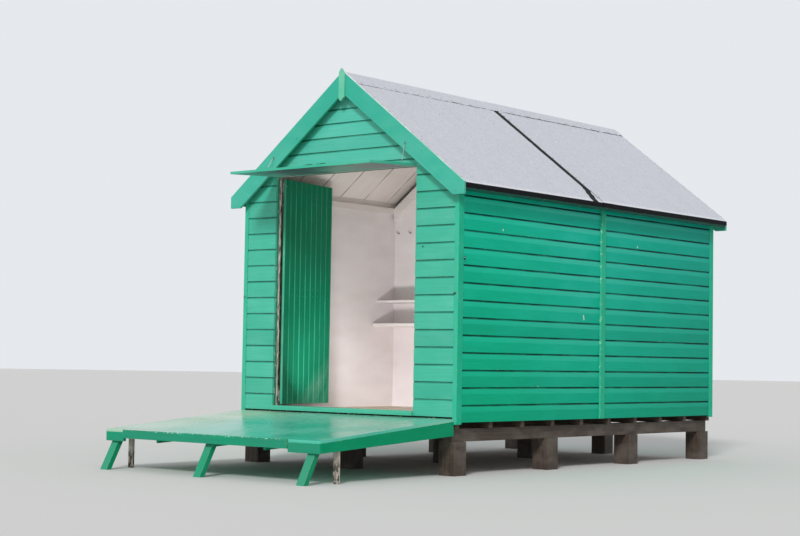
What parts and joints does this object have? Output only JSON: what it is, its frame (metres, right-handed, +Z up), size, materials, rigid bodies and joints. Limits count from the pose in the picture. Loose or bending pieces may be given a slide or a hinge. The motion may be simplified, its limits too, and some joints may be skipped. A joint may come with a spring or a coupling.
{
  "type": "beach hut",
  "caption": "Timber beach hut on piers with a gabled felt roof, inward-opening double doors, a raised flap over the doorway and a sloping front deck on splayed legs.",
  "frame": {"origin": "middle of the underside of the middle front pier, on the ground", "axes": "+X to the right across the front, +Y from the front to the back, +Z up"},
  "size_m": [2.528, 5.6239, 3.2377],
  "materials": {
    "hut_paint": "gloss paint on softwood",
    "side_paint": "gloss paint on softwood",
    "door_paint": "worn gloss paint on softwood",
    "inside_paint": "matt white paint on boards",
    "bare_timber": "bare weathered softwood",
    "tarred_timber": "weathered treated timber",
    "roofing_felt": "mineral-faced bitumen felt",
    "galvanised_steel": "galvanised, dulled by salt air"
  },
  "bodies": {
    "hut": {"piers": "tarred_timber", "floor_bearers": "tarred_timber", "floor_joists": "bare_timber", "floor_boards": "bare_timber", "end_frames": "bare_timber", "side_frames": "bare_timber", "cladding_front_left": "hut_paint", "cladding_front_right": "hut_paint", "cladding_front_gable": "hut_paint", "cladding_sides": "side_paint", "cladding_back": "side_paint", "wall_trim": "side_paint", "threshold": "hut_paint", "lining_sides": "inside_paint", "lining_ends": "inside_paint", "partition": "inside_paint", "partition_rail": "inside_paint", "wall_plates": "inside_paint", "shelves": "inside_paint", "hooks": "galvanised_steel", "jamb_hinges": "galvanised_steel", "flap": "hut_paint", "flap_hinges": "galvanised_steel", "flap_stays": "galvanised_steel", "rafters": "bare_timber", "purlins": "inside_paint", "roof_boards_left": "bare_timber", "roof_boards_right": "bare_timber", "felt_front": "roofing_felt", "felt_back": "roofing_felt", "ridge_cap": "roofing_felt", "eave_battens": "side_paint", "bargeboards": "hut_paint", "finials": "hut_paint", "deck_boards": "hut_paint", "deck_frame": "side_paint", "deck_front_edge": "hut_paint", "deck_legs": "side_paint", "deck_stakes": "bare_timber"},
    "left_leaf": {"door_left": "door_paint", "door_left_ledges": "door_paint", "door_left_hinges": "galvanised_steel"},
    "right_leaf": {"door_right": "door_paint", "door_right_ledges": "door_paint", "door_right_hinges": "galvanised_steel"}
  },
  "joints": [
    {"name": "left_leaf_hinge", "type": "hinge", "parent": "hut", "child": "left_leaf", "pos_m": [-0.8, -0.014, 1.445], "axis": [0, 0, 1], "range_deg": [-101, 0]},
    {"name": "right_leaf_hinge", "type": "hinge", "parent": "hut", "child": "right_leaf", "pos_m": [0.727, -0.014, 1.445], "axis": [0, 0, 1], "range_deg": [0, 101]}
  ]
}
